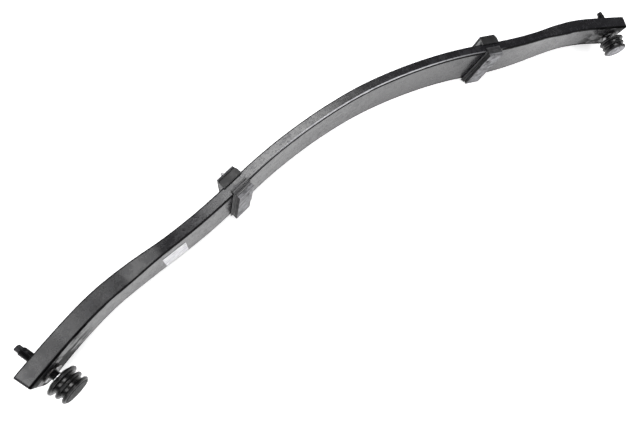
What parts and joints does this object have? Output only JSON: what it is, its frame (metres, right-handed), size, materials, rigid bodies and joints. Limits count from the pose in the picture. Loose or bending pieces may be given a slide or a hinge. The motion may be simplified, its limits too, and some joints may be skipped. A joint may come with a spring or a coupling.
{
  "type": "transverse leaf spring",
  "caption": "Transverse composite leaf spring with clamp pads on the leaf and a rubber cushion on a threaded adjuster at each end.",
  "frame": {"origin": "middle of the base of the whole spring's bounding box, with the spring lying on its side on the lips of its clamp pads", "axes": "+X along the spring towards its right end, +Y the way the wheels push its ends (the leaf arches towards +Y), +Z up, across the leaf's width. On a car +Y is up."},
  "size_m": [1.2284, 0.1818, 0.0868],
  "materials": {
    "glass_fibre_composite": "semi-gloss moulded resin, dry and lightly scuffed where it is worn",
    "paper_label": "matt printed sheet",
    "pad_rubber": "moulded rubber",
    "cushion_rubber": "moulded rubber with a slight sheen",
    "black_steel": "black phosphated steel",
    "bright_steel": "plated steel",
    "cast_plate": "grey, lightly pitted metal"
  },
  "bodies": {
    "leaf_middle": {"leaf": "glass_fibre_composite"},
    "left_arm": {"left_upper_pad": "pad_rubber", "left_upper_plate": "black_steel", "left_lower_pad": "pad_rubber", "left_lower_plate": "cast_plate"},
    "left_tip": {"left_threaded_insert": "bright_steel", "label": "paper_label"},
    "left_cushion_carrier": {"left_cushion_washer": "bright_steel", "left_cushion": "cushion_rubber", "left_cushion_base_plate": "cast_plate"},
    "left_bolt": {"left_adjuster_bolt": "black_steel"},
    "right_arm": {"right_upper_pad": "pad_rubber", "right_upper_plate": "black_steel", "right_lower_pad": "pad_rubber", "right_lower_plate": "cast_plate"},
    "right_tip": {"right_threaded_insert": "bright_steel"},
    "right_cushion_carrier": {"right_cushion_washer": "bright_steel", "right_cushion": "cushion_rubber", "right_cushion_base_plate": "cast_plate"},
    "right_bolt": {"right_adjuster_bolt": "black_steel"}
  },
  "joints": [
    {"name": "left_arm_flex", "type": "hinge", "parent": "leaf_middle", "child": "left_arm", "pos_m": [-0.132, 0.07222, 0.0434], "axis": [0, 0, -1], "range_deg": [0, 24], "stiffness_Nm_per_rad": 4900, "deforming": ["leaf"]},
    {"name": "left_tip_flex", "type": "hinge", "parent": "left_arm", "child": "left_tip", "pos_m": [-0.316, 0.03042, 0.0434], "axis": [0, 0, -1], "range_deg": [0, 7.5], "stiffness_Nm_per_rad": 11700, "deforming": ["leaf"]},
    {"name": "left_adjuster_travel", "type": "slide", "parent": "left_tip", "child": "left_cushion_carrier", "axis": [0.3746, -0.9272, 0], "range_m": [-0.008, 0.012]},
    {"name": "left_bolt_turn", "type": "hinge", "parent": "left_cushion_carrier", "child": "left_bolt", "pos_m": [-0.5861, -0.04666, 0.0434], "axis": [0.3746, -0.9272, 0], "range_deg": [-1647.4, 2471]},
    {"name": "right_arm_flex", "type": "hinge", "parent": "leaf_middle", "child": "right_arm", "pos_m": [0.132, 0.07222, 0.0434], "axis": [0, 0, 1], "range_deg": [0, 24], "stiffness_Nm_per_rad": 4900, "deforming": ["leaf"]},
    {"name": "right_tip_flex", "type": "hinge", "parent": "right_arm", "child": "right_tip", "pos_m": [0.316, 0.03042, 0.0434], "axis": [0, 0, 1], "range_deg": [0, 7.5], "stiffness_Nm_per_rad": 11700, "deforming": ["leaf"]},
    {"name": "right_adjuster_travel", "type": "slide", "parent": "right_tip", "child": "right_cushion_carrier", "axis": [-0.3746, -0.9272, 0], "range_m": [-0.006, 0.012]},
    {"name": "right_bolt_turn", "type": "hinge", "parent": "right_cushion_carrier", "child": "right_bolt", "pos_m": [0.58685, -0.0448, 0.0434], "axis": [-0.3746, -0.9272, 0], "range_deg": [-1235.5, 2471]}
  ],
  "couplings": [
    {"joint": "left_tip_flex", "follows": "left_arm_flex", "ratio": 0.3125},
    {"joint": "left_bolt_turn", "follows": "left_adjuster_travel", "rad_per_m": 3590.4},
    {"joint": "right_tip_flex", "follows": "right_arm_flex", "ratio": 0.3125},
    {"joint": "right_bolt_turn", "follows": "right_adjuster_travel", "rad_per_m": 3590.4}
  ]
}
